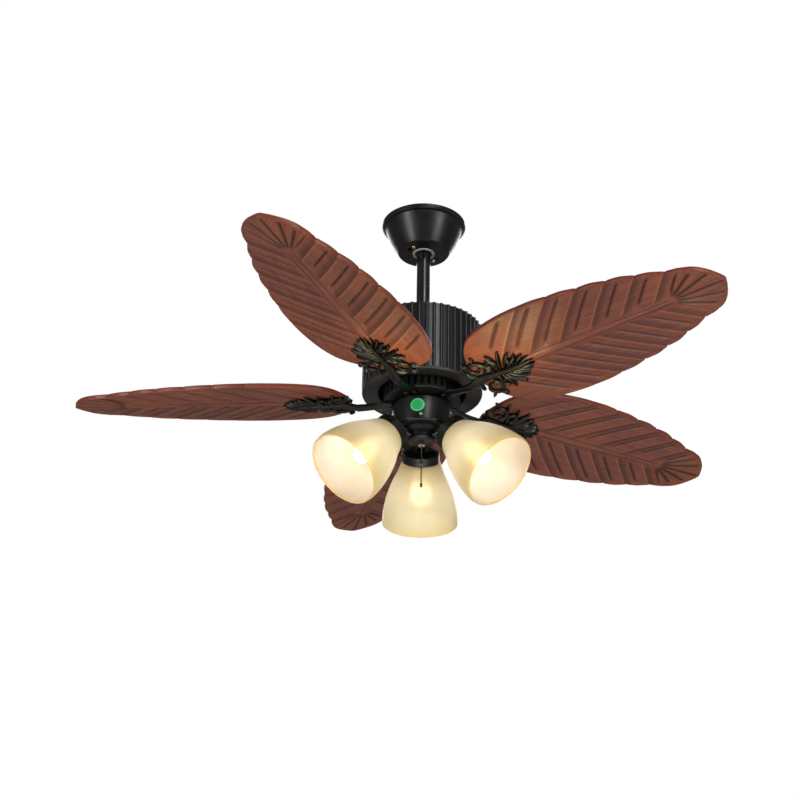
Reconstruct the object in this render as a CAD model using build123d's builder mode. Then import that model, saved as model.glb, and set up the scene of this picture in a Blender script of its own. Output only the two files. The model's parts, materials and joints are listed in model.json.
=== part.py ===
"""Ceiling fan with light: downrod-mounted, five carved leaf blades, three glass shades, one pull chain.

Millimetres and degrees, +Z up. The origin is on the ceiling plane, at the centre of the hanger bracket,
and everything hangs below it. Azimuth 0 is along +X and 90 is along +Y.
"""

from build123d import *
import os
from math import cos, radians, sin

os.makedirs("parts", exist_ok=True)

# ---------------------------------------------------------------- driving dimensions
sweep_radius = 660.0  # a 52 inch fan
blade_count = 5
first_blade_azimuth = 174.9
blade_pitch = -12.0  # the counter-clockwise edge of each blade is the lower one
blade_droop = -0.85  # negative: the tips stand a little above the roots
blade_plane_z = -389.0  # where the underside planes of the blades meet the axis
blade_thickness = 9.0
blade_root = 133.0

light_count = 3
first_light_azimuth = 90.5
light_tilt = 45.8  # shade axis below the horizontal
collar_radius = 73.9  # distance of the shade collar's front rim from the fan's axis
collar_z = -476.2

rod_radius = 13.35  # 3/4 inch pipe
rod_bore = 10.5
rod_top = -12.0
rod_bottom = -222.0
shaft_radius = 10.0
fit_gap = 0.05  # radial clearance of pins, shafts and screws in their holes

canopy_rim_radius = 81.5
canopy_base_radius = 48.2
canopy_height = 64.0
canopy_sheet = 1.5
canopy_screw_circle = 31.0
canopy_screw_azimuth = 52.0
keyhole_turn = 20.0
grommet_bore = 16.2

bracket_sheet = 2.5
bracket_length = 112.0
bracket_width = 40.0
slot_spacing = 89.0
slot_length = 16.0
slot_width = 6.5
shelf_top = -52.0
leg_offset = 34.25
leg_width = 26.0

ball_z = -34.0
ball_radius = 27.0
liner_inner = ball_radius + 0.3
liner_outer = 30.0
ball_pin_z = -24.0
clevis_z = -211.0
pin_radius = 3.0

housing_radius = 113.0
housing_top = -236.8
housing_bottom = -371.0
rib_count = 50
rib_radius = 3.4
housing_inner = 108.4
housing_sheet = 2.5

bell_radius = 84.0
bell_split = -305.0
bell_sheet = 2.0
drum_radius = 72.3
drum_bottom = -392.4
drum_slots = 36
bearing_outer = 21.0
bearing_width = 12.0
upper_bearing_top = -248.0
lower_bearing_top = -378.0
core_top = -287.0
core_height = 36.0
air_gap = 1.0
stator_radius = 59.5

iron_plate = 4.0
iron_tip = 258.0
iron_screw_radius = 58.0
iron_screw_offset = 8.0
blade_screw_spots = ((172.0, -22.0), (172.0, 22.0), (216.0, 0.0))

cup_radius = 55.3
cup_top = -401.0
cup_seam = -446.0
cup_bottom = -451.0
cup_sheet = 1.6
cup_screw_z = -441.0
label_radius = 13.5
label_azimuth = 261.5
label_z = -421.8

hub_radius = 27.5
hub_bottom = -474.0
hub_wall = 2.5
hub_corner = 8.0
arm_z = -465.5
arm_radius = 7.0
nipple_radius = 6.0

collar_outer = 34.6
collar_inner = 33.3
collar_length = 16.0
fitter_depth = 24.0
fitter_neck = 17.0
fin_count = 20
shade_length = 126.0
shade_wall = 3.0
shade_neck = 32.5

chain_radius = 1.6
chain_hole = 3.1
chain_top = hub_bottom + hub_wall + 0.2
chain_bottom = -555.0


# ---------------------------------------------------------------- helpers
def keep(builder, name):
    """Label a finished piece and write it."""
    builder.part.label = name
    export_step(builder.part, "parts/" + name + ".step")


def polar(radius, azimuth, height):
    """A point at a radius, azimuth and height."""
    return (radius * cos(radians(azimuth)), radius * sin(radians(azimuth)), height)


def blade_plane(azimuth):
    """Plane of a blade's underside: x runs out along the leaf, z is normal to it, upwards."""
    turn = radians(azimuth)
    pitch = radians(blade_pitch)
    droop = radians(blade_droop)
    radial = Vector(cos(turn), sin(turn), 0)
    across = Vector(-sin(turn), cos(turn), 0)
    up = Vector(0, 0, 1)
    along = radial * cos(droop) - up * sin(droop)
    lifted = radial * sin(droop) + up * cos(droop)
    normal = lifted * cos(pitch) - across * sin(pitch)
    return Plane(origin=(0, 0, blade_plane_z), x_dir=along, z_dir=normal)


def light_plane(azimuth):
    """Plane of a shade collar's front rim: z points out of the shade's mouth, x is level."""
    turn = radians(azimuth)
    tilt = radians(light_tilt)
    level = Vector(-sin(turn), cos(turn), 0)
    outward = Vector(cos(turn) * cos(tilt), sin(turn) * cos(tilt), -sin(tilt))
    return Plane(origin=polar(collar_radius, azimuth, collar_z), x_dir=level, z_dir=outward)


def section_plane(base):
    """Half-plane of a turned profile: x is the radius and y runs along the base plane's z."""
    return Plane(origin=base.origin, x_dir=base.x_dir, z_dir=base.x_dir.cross(base.z_dir))


def axis_of(base):
    """The turning axis that belongs to section_plane(base)."""
    return Axis(base.origin, base.z_dir)


blade_azimuths = [first_blade_azimuth + 360.0 / blade_count * k for k in range(blade_count)]
light_azimuths = [first_light_azimuth + 360.0 / light_count * k for k in range(light_count)]

# ---------------------------------------------------------------- ceiling mount
screw_spots = [polar(canopy_screw_circle, canopy_screw_azimuth + 180 * k, 0)[:2] for k in range(2)]

with BuildPart() as hanger_bracket:
    with BuildSketch():
        RectangleRounded(bracket_length, bracket_width, 6)
        with Locations((-slot_spacing / 2, 0), (slot_spacing / 2, 0)):
            SlotOverall(slot_length, slot_width, mode=Mode.SUBTRACT)
        Circle(11, mode=Mode.SUBTRACT)
    extrude(amount=-bracket_sheet)
    with BuildSketch(Plane.XY.offset(-bracket_sheet)):
        with Locations((-leg_offset, 0), (leg_offset, 0)):
            Rectangle(bracket_sheet, leg_width)
    extrude(amount=shelf_top + bracket_sheet)
    with BuildSketch(Plane.XY.offset(shelf_top)):
        Circle(38)
    extrude(amount=-bracket_sheet)
    with BuildSketch(Plane.XY.offset(shelf_top + 2)):
        Circle(28.5)
    extrude(amount=-8)
    with Locations((0, 0, ball_z)):
        Sphere(liner_outer + 0.3, mode=Mode.SUBTRACT)
    with BuildSketch(Plane.XY.offset(shelf_top + 3)):
        with Locations((0, 25)):
            Rectangle(31, 50)
        with Locations(*screw_spots):
            Circle(2 + fit_gap)
    extrude(amount=-10, mode=Mode.SUBTRACT)
keep(hanger_bracket, "hanger_bracket")


def bowl_points(inset):
    """Side of the canopy's bowl, from its top bead to the edge of its flat base."""
    side = ((74.5, -11.0), (66.8, -31.0), (58.6, -48.0), (50.2, -62.3))
    return [(r - inset, z + 0.35 * inset) for r, z in side]


with BuildPart() as canopy:
    with BuildSketch(Plane.XZ):
        with BuildLine():
            Polyline(
                (canopy_rim_radius - canopy_sheet, 0),
                (canopy_rim_radius, 0),
                (canopy_rim_radius, -5),
                (78.5, -8),
                (75, -8.6),
                (75.3, -9.8),
                (74.5, -11),
            )
            Spline(*bowl_points(0))
            Polyline(
                (50.2, -62.3),
                (canopy_base_radius, -canopy_height),
                (20, -canopy_height),
                (20, canopy_sheet - canopy_height),
                (47.2, canopy_sheet - canopy_height),
                bowl_points(canopy_sheet)[-1],
            )
            Spline(*bowl_points(canopy_sheet))
            Polyline(
                bowl_points(canopy_sheet)[0],
                (73.2, -7.2),
                (77.8, -6.6),
                (canopy_rim_radius - canopy_sheet, -4.4),
                (canopy_rim_radius - canopy_sheet, 0),
            )
        make_face()
    revolve(axis=Axis.Z)
    with BuildSketch(Plane.XY.offset(-canopy_height - 1)):
        for spot in range(2):
            azimuth = canopy_screw_azimuth + 180 * spot
            with BuildLine():
                arc = CenterArc((0, 0), canopy_screw_circle, azimuth - keyhole_turn, keyhole_turn)
            SlotArc(arc, 5)
            with Locations(polar(canopy_screw_circle, azimuth - keyhole_turn, 0)[:2]):
                Circle(4.4)
    extrude(amount=4, mode=Mode.SUBTRACT)
keep(canopy, "canopy")

with BuildPart() as canopy_grommet:
    with BuildSketch(Plane.XZ):
        with BuildLine():
            Polyline(
                (grommet_bore, -61),
                (19.95, -61),
                (19.95, -canopy_height),
                (21.3, -canopy_height),
                (20.8, -65.6),
                (grommet_bore + 0.8, -65.6),
                (grommet_bore, -64.6),
                (grommet_bore, -61),
            )
        make_face()
    revolve(axis=Axis.Z)
keep(canopy_grommet, "canopy_grommet")

with BuildPart() as canopy_screws:
    for x, y in screw_spots:
        with BuildSketch(Plane.XY.offset(-canopy_height)):
            with Locations((x, y)):
                Circle(2)
        extrude(amount=canopy_height + shelf_top + 2)
        with BuildSketch(Plane.XY.offset(-canopy_height)):
            with Locations((x, y)):
                Circle(4)
        extrude(amount=-2.4, taper=15)
        with BuildSketch(Plane.XY.offset(-canopy_height - 2.4)):
            with Locations((x, y)):
                Rectangle(5, 0.9, rotation=30)
                Rectangle(0.9, 5, rotation=30)
        extrude(amount=1.2, mode=Mode.SUBTRACT)
keep(canopy_screws, "canopy_screws")

with BuildPart() as ball_seat:
    with Locations((0, 0, ball_z)):
        Sphere(liner_outer)
        Sphere(liner_inner, mode=Mode.SUBTRACT)
        Cylinder(18, 80, mode=Mode.SUBTRACT)
    with BuildSketch(Plane.XY.offset(-47)):
        Rectangle(80, 80)
    extrude(amount=60, mode=Mode.SUBTRACT)
keep(ball_seat, "ball_seat")

# ---------------------------------------------------------------- downrod and its joints
with BuildPart() as hanger_ball:
    with Locations((0, 0, ball_z)):
        Sphere(ball_radius)
        Cylinder(rod_radius + fit_gap, 80, mode=Mode.SUBTRACT)
    with BuildSketch(Plane.XY.offset(-14)):
        Rectangle(80, 80)
    extrude(amount=60, mode=Mode.SUBTRACT)
    with Locations((0, 0, ball_pin_z)):
        Cylinder(pin_radius + fit_gap, 80, rotation=(90, 0, 0), mode=Mode.SUBTRACT)
keep(hanger_ball, "hanger_ball")

with BuildPart() as ball_pin:
    with Locations((0, 0, ball_pin_z)):
        Cylinder(pin_radius, 44, rotation=(90, 0, 0))
    chamfer(ball_pin.edges(), 0.6)
keep(ball_pin, "ball_pin")

with BuildPart() as downrod:
    with BuildSketch(Plane.XY.offset(rod_bottom)):
        Circle(rod_radius)
        Circle(rod_bore, mode=Mode.SUBTRACT)
    extrude(amount=rod_top - rod_bottom)
    with Locations((0, 0, ball_pin_z)):
        Cylinder(pin_radius + fit_gap, 60, rotation=(90, 0, 0), mode=Mode.SUBTRACT)
    with Locations((0, 0, clevis_z)):
        Cylinder(pin_radius + fit_gap, 60, rotation=(0, 90, 0), mode=Mode.SUBTRACT)
keep(downrod, "downrod")

set_screw_z = clevis_z + 6
with BuildPart() as coupling:
    with BuildSketch(Plane.XZ):
        with BuildLine():
            Polyline(
                (rod_radius + fit_gap, -198),
                (23, -198),
                (24, -199),
                (24, -229),
                (36, -231),
                (36, housing_top),
                (shaft_radius + 0.02, housing_top),
                (shaft_radius + 0.02, rod_bottom),
                (rod_radius + fit_gap, rod_bottom),
                (rod_radius + fit_gap, -198),
            )
        make_face()
    revolve(axis=Axis.Z)
    with Locations((0, 0, clevis_z)):
        Cylinder(pin_radius + fit_gap, 90, rotation=(0, 90, 0), mode=Mode.SUBTRACT)
    with Locations((0, 0, set_screw_z)):
        Cylinder(2.5 + fit_gap, 90, rotation=(90, 0, 0), mode=Mode.SUBTRACT)
keep(coupling, "coupling")

cotter_x = 28.0
with BuildPart() as clevis_pin:
    with BuildSketch(Plane.YZ.offset(-27)):
        with Locations((0, clevis_z)):
            Circle(pin_radius)
    extrude(amount=58)
    with BuildSketch(Plane.YZ.offset(-27)):
        with Locations((0, clevis_z)):
            Circle(5)
    extrude(amount=-3)
    with Locations((cotter_x, 0, clevis_z)):
        Cylinder(1 + fit_gap, 12, mode=Mode.SUBTRACT)
keep(clevis_pin, "clevis_pin")

with BuildPart() as cotter_pin:
    with Locations((cotter_x, 0, clevis_z)):
        Cylinder(1, 15)
    with Locations((cotter_x, 0, clevis_z + 9.6)):
        Torus(2.6, 0.8, rotation=(0, 90, 0))
keep(cotter_pin, "cotter_pin")

with BuildPart() as coupling_set_screws:
    for side in (-1, 1):
        with Locations((0, side * 19.9, set_screw_z)):
            Cylinder(2.5, 13, rotation=(90, 0, 0))
        with Locations((0, side * 26.6, set_screw_z)):
            Cylinder(4, 3, rotation=(90, 0, 0))
keep(coupling_set_screws, "coupling_set_screws")

with BuildPart() as coupling_cover:
    with BuildSketch(Plane.XZ):
        with BuildLine():
            Polyline((40.8, housing_top), (42, housing_top), (42, -214))
            Spline((42, -214), (36, -201), (24, -193), (17.5, -186), tangents=((0, 1), (0, 1)))
            Polyline((17.5, -186), (14, -186), (14, -187.2), (16.3, -187.2))
            Spline((16.3, -187.2), (23, -194.1), (35, -202), (40.8, -214), tangents=((0, -1), (0, -1)))
            Line((40.8, -214), (40.8, housing_top))
        make_face()
    revolve(axis=Axis.Z)
keep(coupling_cover, "coupling_cover")

# ---------------------------------------------------------------- motor, fixed side
plate_top = cup_top - 2
plate_bottom = plate_top - 2.5
with BuildPart() as motor_shaft:
    with BuildSketch(Plane.XY.offset(plate_bottom - 5)):
        Circle(shaft_radius)
        Circle(shaft_radius - 3.5, mode=Mode.SUBTRACT)
    extrude(amount=rod_bottom - plate_bottom + 5 - 0.1)
keep(motor_shaft, "motor_shaft")

with BuildPart() as stator_core:
    with BuildSketch(Plane.XY.offset(core_top)):
        Circle(stator_radius)
        Circle(shaft_radius + 0.02, mode=Mode.SUBTRACT)
        with PolarLocations(44, 16):
            SlotOverall(22, 7, mode=Mode.SUBTRACT)
        with PolarLocations(stator_radius, 16):
            Rectangle(8, 2.5, mode=Mode.SUBTRACT)
    extrude(amount=-core_height)
keep(stator_core, "stator_core")

with BuildPart() as stator_coils:
    for level in (core_top + 7.1, core_top - core_height - 7.1):
        with BuildSketch(Plane.XZ):
            with Locations((44, level)):
                RectangleRounded(25, 14, 5)
        revolve(axis=Axis.Z)
keep(stator_coils, "stator_coils")

with BuildPart() as motor_housing:
    with BuildSketch(Plane.XY.offset(housing_top)):
        Circle(housing_radius - rib_radius + 0.6)
        with PolarLocations(housing_radius - rib_radius, rib_count):
            Circle(rib_radius)
        Circle(housing_inner, mode=Mode.SUBTRACT)
    extrude(amount=housing_bottom - housing_top)
    with BuildSketch(Plane.XY.offset(housing_top)):
        Circle(housing_inner + 0.5)
        Circle(shaft_radius + 0.2, mode=Mode.SUBTRACT)
    extrude(amount=-housing_sheet)
keep(motor_housing, "motor_housing")

with BuildPart() as bottom_pan:
    with BuildSketch(Plane.XZ):
        with BuildLine():
            Line((housing_inner - 0.1, housing_bottom), (112.9, housing_bottom))
            JernArc((112.9, housing_bottom), (0, -1), 4, -90)
            Polyline(
                (108.9, housing_bottom - 4),
                (104, housing_bottom - 4.2),
                (84, housing_bottom - 2.2),
                (82, housing_bottom - 1),
                (82, housing_bottom + 1),
                (84, housing_bottom - 0.4),
                (104, housing_bottom - 2.4),
                (106.9, housing_bottom - 1),
                (106.9, housing_bottom + 9),
                (housing_inner - 0.1, housing_bottom + 9),
                (housing_inner - 0.1, housing_bottom),
            )
        make_face()
    revolve(axis=Axis.Z)
keep(bottom_pan, "bottom_pan")

# ---------------------------------------------------------------- motor, turning side
with BuildPart() as rotor_core:
    with BuildSketch(Plane.XY.offset(core_top)):
        Circle(bell_radius - bell_sheet - 0.1)
        Circle(stator_radius + air_gap, mode=Mode.SUBTRACT)
    extrude(amount=-core_height)
keep(rotor_core, "rotor_core")

flange_radius = bell_radius + 8
bell_screw_circle = bell_radius + 4
bell_inside = bell_radius - bell_sheet
seat_wall = bearing_outer + 4
with BuildPart() as rotor_upper_bell:
    with BuildSketch(Plane.XZ):
        with BuildLine():
            Polyline(
                (flange_radius, bell_split),
                (flange_radius, bell_split + 2),
                (bell_radius, bell_split + 2),
                (bell_radius, -256),
                (80, -252),
                (seat_wall, -252),
                (seat_wall, -246),
                (19, -246),
                (19, upper_bearing_top),
                (bearing_outer + 0.02, upper_bearing_top),
                (bearing_outer + 0.02, upper_bearing_top - bearing_width),
                (seat_wall, upper_bearing_top - bearing_width),
                (seat_wall, -254),
                (79.2, -254),
                (bell_inside, -256.8),
                (bell_inside, bell_split),
                (flange_radius, bell_split),
            )
        make_face()
    revolve(axis=Axis.Z)
    with BuildSketch(Plane.XY.offset(bell_split)):
        with PolarLocations(bell_screw_circle, 6):
            Circle(2 + fit_gap)
    extrude(amount=3, mode=Mode.SUBTRACT)
    with BuildSketch(Plane.XY.offset(-250)):
        with PolarLocations(50, 10):
            SlotOverall(30, 7)
    extrude(amount=-6, mode=Mode.SUBTRACT)
keep(rotor_upper_bell, "rotor_upper_bell")

with BuildPart() as rotor_lower_bell:
    with BuildSketch(Plane.XZ):
        with BuildLine():
            Polyline(
                (flange_radius, bell_split),
                (flange_radius, bell_split - 2),
                (bell_radius, bell_split - 2),
                (bell_radius, -350),
                (drum_radius, -362),
                (drum_radius, drum_bottom + 1.5),
                (drum_radius - 1.5, drum_bottom),
                (19, drum_bottom),
                (19, lower_bearing_top - bearing_width),
                (bearing_outer + 0.02, lower_bearing_top - bearing_width),
                (bearing_outer + 0.02, lower_bearing_top),
                (seat_wall, lower_bearing_top),
                (seat_wall, drum_bottom + bell_sheet),
                (drum_radius - bell_sheet, drum_bottom + bell_sheet),
                (drum_radius - bell_sheet, -362.8),
                (bell_inside, -351),
                (bell_inside, bell_split),
                (flange_radius, bell_split),
            )
        make_face()
    revolve(axis=Axis.Z)
    with BuildSketch(Plane.XY.offset(bell_split)):
        with PolarLocations(bell_screw_circle, 6):
            Circle(2 + fit_gap)
    extrude(amount=-3, mode=Mode.SUBTRACT)
    with BuildSketch(Plane.XY.offset(drum_bottom + 5)):
        with PolarLocations(drum_radius, drum_slots):
            Rectangle(8, 4.5)
    extrude(amount=19, mode=Mode.SUBTRACT)
    with BuildSketch(Plane.XY.offset(drum_bottom - 1)):
        for azimuth in blade_azimuths:
            for side in (-1, 1):
                x, y = iron_screw_radius, side * iron_screw_offset
                turn = radians(azimuth)
                with Locations((x * cos(turn) - y * sin(turn), x * sin(turn) + y * cos(turn))):
                    Circle(2.5 + fit_gap)
    extrude(amount=5, mode=Mode.SUBTRACT)
keep(rotor_lower_bell, "rotor_lower_bell")

with BuildPart() as bell_screws:
    with BuildSketch(Plane.XY.offset(bell_split - 5)):
        with PolarLocations(bell_screw_circle, 6):
            Circle(2)
    extrude(amount=7)
    with BuildSketch(Plane.XY.offset(bell_split + 2)):
        with PolarLocations(bell_screw_circle, 6):
            Circle(3.6)
    extrude(amount=2.5)
keep(bell_screws, "bell_screws")

with BuildPart() as bearings:
    for top in (upper_bearing_top, lower_bearing_top):
        with BuildSketch(Plane.XY.offset(top)):
            Circle(13)
            Circle(shaft_radius + fit_gap, mode=Mode.SUBTRACT)
        extrude(amount=-bearing_width)
        with BuildSketch(Plane.XY.offset(top)):
            Circle(bearing_outer)
            Circle(18, mode=Mode.SUBTRACT)
        extrude(amount=-bearing_width)
        with Locations((0, 0, top - bearing_width / 2)):
            with PolarLocations(15.5, 9):
                Sphere(2.45)
keep(bearings, "bearings")

# ---------------------------------------------------------------- blades and their irons
half_leaf = (
    (blade_root, 0),
    (148, 52),
    (183, 96),
    (240, 115),
    (340, 120),
    (430, 109),
    (525, 87),
    (595, 62),
    (640, 38),
    (sweep_radius, 0),
)

with BuildPart() as iron_screws:
    for azimuth in blade_azimuths:
        base = Plane(origin=(0, 0, drum_bottom - iron_plate), x_dir=polar(1, azimuth, 0), z_dir=(0, 0, 1))
        with BuildSketch(base):
            with Locations((iron_screw_radius, -iron_screw_offset), (iron_screw_radius, iron_screw_offset)):
                Circle(2.5)
        extrude(amount=iron_plate + 5)
        with BuildSketch(base):
            with Locations((iron_screw_radius, -iron_screw_offset), (iron_screw_radius, iron_screw_offset)):
                Circle(4.2)
        extrude(amount=-2.6, taper=12)
keep(iron_screws, "iron_screws")

with BuildPart() as blade_screws:
    for azimuth in blade_azimuths:
        base = blade_plane(azimuth)
        with BuildSketch(base.offset(-iron_plate)):
            with Locations(*blade_screw_spots):
                Circle(2)
        extrude(amount=iron_plate + blade_thickness)
        with BuildSketch(base.offset(blade_thickness)):
            with Locations(*blade_screw_spots):
                Circle(4.6)
        extrude(amount=2.4, taper=20)
keep(blade_screws, "blade_screws")

for number, azimuth in enumerate(blade_azimuths, start=1):
    base = blade_plane(azimuth)
    with BuildPart() as blade:
        with BuildSketch(base):
            with BuildLine():
                leaf_edge = Spline(*half_leaf, tangents=((0, 1), (0, -1)), tangent_scalars=(0.4, 0.25))
                mirror(leaf_edge, about=Plane.XZ)
            make_face()
            with Locations(*blade_screw_spots):
                Circle(2.3, mode=Mode.SUBTRACT)
        extrude(amount=blade_thickness)
    keep(blade, "blade_" + str(number))

    root = Plane(origin=(0, 0, drum_bottom), x_dir=polar(1, azimuth, 0), z_dir=(0, 0, 1))
    across = root.y_dir
    with BuildPart() as blade_iron:
        with BuildSketch(root):
            with Locations((62, 0)):
                RectangleRounded(36, 30, 5)
            with Locations((iron_screw_radius, -iron_screw_offset), (iron_screw_radius, iron_screw_offset)):
                Circle(2.5 + fit_gap, mode=Mode.SUBTRACT)
        extrude(amount=-iron_plate)
        start = Plane(origin=polar(76, azimuth, drum_bottom - 2.5), x_dir=across, z_dir=root.x_dir)
        middle = Plane(origin=polar(106, azimuth, drum_bottom - 5.5), x_dir=across, z_dir=root.x_dir)
        end_point = base.from_local_coords((150, 0, -4.5))
        end = Plane(origin=end_point, x_dir=base.y_dir, z_dir=base.x_dir)
        with BuildSketch(start):
            RectangleRounded(22, 4.6, 2)
        with BuildSketch(middle):
            RectangleRounded(19, 9, 3)
        with BuildSketch(end):
            RectangleRounded(24, 8, 3)
        loft()
        with BuildSketch(base):
            with Locations((184, 0)):
                Ellipse(42, 45)
            Polygon((205, 36), (205, -36), (iron_tip, 0), align=None)
            with Locations(*blade_screw_spots):
                Circle(2 + fit_gap, mode=Mode.SUBTRACT)
        extrude(amount=-iron_plate)
    keep(blade_iron, "blade_iron_" + str(number))

# ---------------------------------------------------------------- switch cup
with BuildPart() as cup_plate:
    with BuildSketch(Plane.XY.offset(plate_top)):
        Circle(cup_radius - cup_sheet - 0.1)
        Circle(shaft_radius + fit_gap, mode=Mode.SUBTRACT)
        with PolarLocations(32, 4, start_angle=45):
            Circle(6, mode=Mode.SUBTRACT)
    extrude(amount=plate_bottom - plate_top)
    with BuildSketch(Plane.XY.offset(plate_bottom)):
        RegularPolygon(15, 6)
        Circle(shaft_radius + fit_gap, mode=Mode.SUBTRACT)
    extrude(amount=-5)
keep(cup_plate, "cup_plate")

with BuildPart() as switch_cup:
    with BuildSketch(Plane.XZ):
        with BuildLine():
            Polyline(
                (46, cup_top),
                (cup_radius - 1.5, cup_top),
                (cup_radius, cup_top - 1.5),
                (cup_radius, cup_seam),
                (cup_radius - cup_sheet, cup_seam),
                (cup_radius - cup_sheet, plate_top),
                (46, plate_top),
                (46, cup_top),
            )
        make_face()
    revolve(axis=Axis.Z)
    with Locations((0, 0, cup_screw_z)):
        with PolarLocations(cup_radius, 3, start_angle=268):
            Cylinder(1.5 + fit_gap, 10, rotation=(0, 90, 0), mode=Mode.SUBTRACT)
keep(switch_cup, "switch_cup")

with BuildPart() as kit_plate:
    with BuildSketch(Plane.XZ):
        with BuildLine():
            Polyline(
                (nipple_radius + fit_gap, cup_bottom + cup_sheet),
                (52, cup_bottom + cup_sheet),
                (52, -434),
                (53.6, -434),
                (53.6, cup_seam - 0.1),
                (cup_radius, cup_seam - 0.1),
                (cup_radius, cup_bottom + 3),
            )
            JernArc((cup_radius, cup_bottom + 3), (0, -1), 3, -90)
            Polyline(
                (cup_radius - 3, cup_bottom),
                (nipple_radius + fit_gap, cup_bottom),
                (nipple_radius + fit_gap, cup_bottom + cup_sheet),
            )
        make_face()
    revolve(axis=Axis.Z)
    with Locations((0, 0, cup_screw_z)):
        with PolarLocations(cup_radius, 3, start_angle=268):
            Cylinder(1.5 + fit_gap, 10, rotation=(0, 90, 0), mode=Mode.SUBTRACT)
keep(kit_plate, "kit_plate")

with BuildPart() as cup_screws:
    with Locations((0, 0, cup_screw_z)):
        with PolarLocations(cup_radius - 2.5, 3, start_angle=268):
            Cylinder(1.5, 6, rotation=(0, 90, 0))
        with PolarLocations(cup_radius + 1.2, 3, start_angle=268):
            Cylinder(2.9, 2, rotation=(0, 90, 0))
keep(cup_screws, "cup_screws")

with BuildPart() as capacitor:
    with Locations((26, 0, -421)):
        Box(18, 44, 24)
    fillet(capacitor.edges().filter_by(Axis.Z), 3)
keep(capacitor, "capacitor")

with BuildPart() as round_label:
    with BuildSketch(Plane.XY.offset(label_z - 20)):
        Circle(cup_radius + 0.55)
        Circle(cup_radius + 0.02, mode=Mode.SUBTRACT)
    extrude(amount=40)
    with BuildSketch(Plane(origin=(0, 0, label_z), x_dir=(0, 0, 1), z_dir=polar(1, label_azimuth, 0))):
        Circle(label_radius)
    extrude(amount=cup_radius + 5, mode=Mode.INTERSECT)
keep(round_label, "round_label")

# ---------------------------------------------------------------- light kit
light_planes = [light_plane(azimuth) for azimuth in light_azimuths]

with BuildPart() as light_hub:
    with BuildSketch(Plane.XZ):
        with BuildLine():
            Polyline(
                (nipple_radius + fit_gap, cup_bottom),
                (39, cup_bottom),
                (39, cup_bottom - 1.6),
                (34, cup_bottom - 3.2),
                (hub_radius, cup_bottom - 6),
                (hub_radius, hub_bottom + hub_corner),
            )
            JernArc((hub_radius, hub_bottom + hub_corner), (0, -1), hub_corner, -90)
            Polyline(
                (hub_radius - hub_corner, hub_bottom),
                (chain_hole, hub_bottom),
                (chain_hole, hub_bottom + hub_wall),
                (hub_radius - hub_corner, hub_bottom + hub_wall),
            )
            JernArc(
                (hub_radius - hub_corner, hub_bottom + hub_wall), (1, 0), hub_corner - hub_wall, 90
            )
            Polyline(
                (hub_radius - hub_wall, hub_bottom + hub_corner),
                (hub_radius - hub_wall, cup_bottom - 4),
                (nipple_radius + fit_gap, cup_bottom - 4),
                (nipple_radius + fit_gap, cup_bottom),
            )
        make_face()
    revolve(axis=Axis.Z)
    with Locations((0, 0, arm_z)):
        with PolarLocations(hub_radius, light_count, start_angle=first_light_azimuth):
            Cylinder(4, 12, rotation=(0, 90, 0), mode=Mode.SUBTRACT)
keep(light_hub, "light_hub")

with BuildPart() as hub_nipple:
    with BuildSketch(Plane.XY.offset(cup_bottom - 12)):
        Circle(nipple_radius)
        Circle(nipple_radius - 1.5, mode=Mode.SUBTRACT)
    extrude(amount=23)
    for level in (cup_bottom + cup_sheet, cup_bottom - 4 - 4):
        with BuildSketch(Plane.XY.offset(level)):
            RegularPolygon(10, 6)
            Circle(nipple_radius - 0.5, mode=Mode.SUBTRACT)
        extrude(amount=4)
keep(hub_nipple, "hub_nipple")

with BuildPart() as pull_switch:
    with Locations((0, 0, chain_top + 3.6)):
        Box(16, 14, 7)
    fillet(pull_switch.edges().filter_by(Axis.Z), 2)
keep(pull_switch, "pull_switch")

with BuildPart() as chain_grommet:
    with BuildSketch(Plane.XZ):
        with BuildLine():
            Polyline(
                (chain_hole, hub_bottom),
                (chain_hole + 2.2, hub_bottom),
                (chain_hole + 2.4, hub_bottom - 2),
                (chain_hole + 3.5, hub_bottom - 4.2),
                (chain_hole + 3.2, hub_bottom - 5.2),
                (chain_hole + 2.0, hub_bottom - 5.2),
                (chain_hole + 0.9, hub_bottom - 3.0),
                (chain_hole, hub_bottom - 2.0),
                (chain_hole, hub_bottom),
            )
        make_face()
    revolve(axis=Axis.Z)
keep(chain_grommet, "chain_grommet")

with BuildPart() as light_arms:
    for azimuth, rim in zip(light_azimuths, light_planes):
        back = rim.offset(-fitter_depth)
        inward = Vector(*polar(20, azimuth, arm_z)) - back.origin
        with BuildSketch(back):
            Circle(arm_radius)
        extrude(amount=inward.length, dir=inward.normalized())
    with BuildSketch(Plane.XY.offset(hub_bottom)):
        Circle(hub_radius + 0.02)
    extrude(amount=60, mode=Mode.SUBTRACT)
keep(light_arms, "light_arms")


def shade_side(inset):
    """Side of the glass from its shoulder to near its mouth, as (radius, distance from the collar)."""
    side = ((35.6, 2.0), (42.5, 17.0), (52.5, 38.0), (60.5, 58.0), (66.5, 78.0), (70.6, 99.0), (72.2, 118.0))
    return [(r - inset, s + 0.25 * inset) for r, s in side]


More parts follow.
